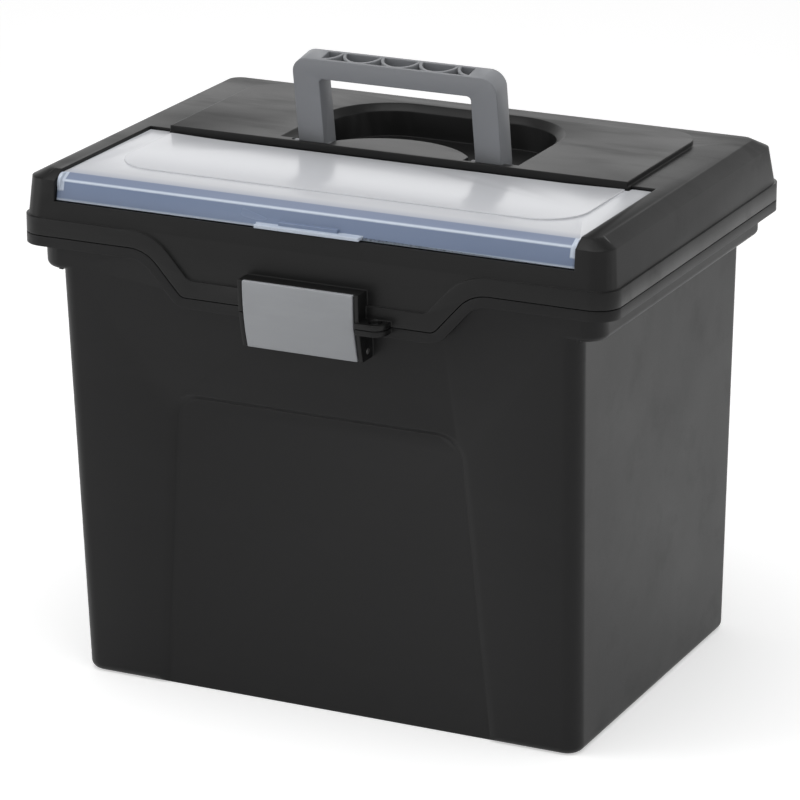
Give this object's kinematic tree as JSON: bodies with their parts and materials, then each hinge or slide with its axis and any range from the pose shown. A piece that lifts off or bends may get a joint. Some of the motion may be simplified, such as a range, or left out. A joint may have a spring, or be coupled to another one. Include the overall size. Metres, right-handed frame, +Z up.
{
  "type": "portable file box",
  "caption": "Portable letter-size file box with a hinged lid, clear organizer door, folding carry handle, front latch and padlock ears.",
  "frame": {"origin": "centre of the underside, where the box rests", "axes": "+Z up, -Y out of the front where the latch is, +X to the right seen from the front"},
  "size_m": [0.352, 0.2727, 0.3492],
  "materials": {
    "black_plastic": "fine matt grain",
    "lid_plastic": "fine matt grain",
    "clear_plastic": "frosted clear",
    "handle_plastic": "satin",
    "grey_plastic": "satin",
    "steel": "plain turned"
  },
  "bodies": {
    "bin": {"base_bin": "black_plastic", "lid_hinge_pin_left": "steel", "lid_hinge_pin_right": "steel", "latch_pin": "steel"},
    "lid": {"lid_shell": "lid_plastic", "handle_pin_left": "steel", "handle_pin_right": "steel"},
    "door": {"organizer_door": "clear_plastic"},
    "handle": {"carry_handle": "handle_plastic"},
    "latch": {"latch_arm": "black_plastic", "latch_face": "grey_plastic"}
  },
  "joints": [
    {"name": "lid_hinge", "type": "hinge", "parent": "bin", "child": "lid", "pos_m": [0, 0.12546, 0.26], "axis": [-1, 0, 0], "range_deg": [0, 105]},
    {"name": "door_hinge", "type": "hinge", "parent": "lid", "child": "door", "pos_m": [0, -0.02482, 0.2921], "axis": [-1, 0, 0], "range_deg": [0, 80]},
    {"name": "handle_fold", "type": "hinge", "parent": "lid", "child": "handle", "pos_m": [0, -0.00862, 0.29], "axis": [-1, 0, 0], "range_deg": [0, 100]},
    {"name": "latch_turn", "type": "hinge", "parent": "bin", "child": "latch", "pos_m": [0, -0.12802, 0.22], "axis": [1, 0, 0], "range_deg": [0, 95]}
  ]
}
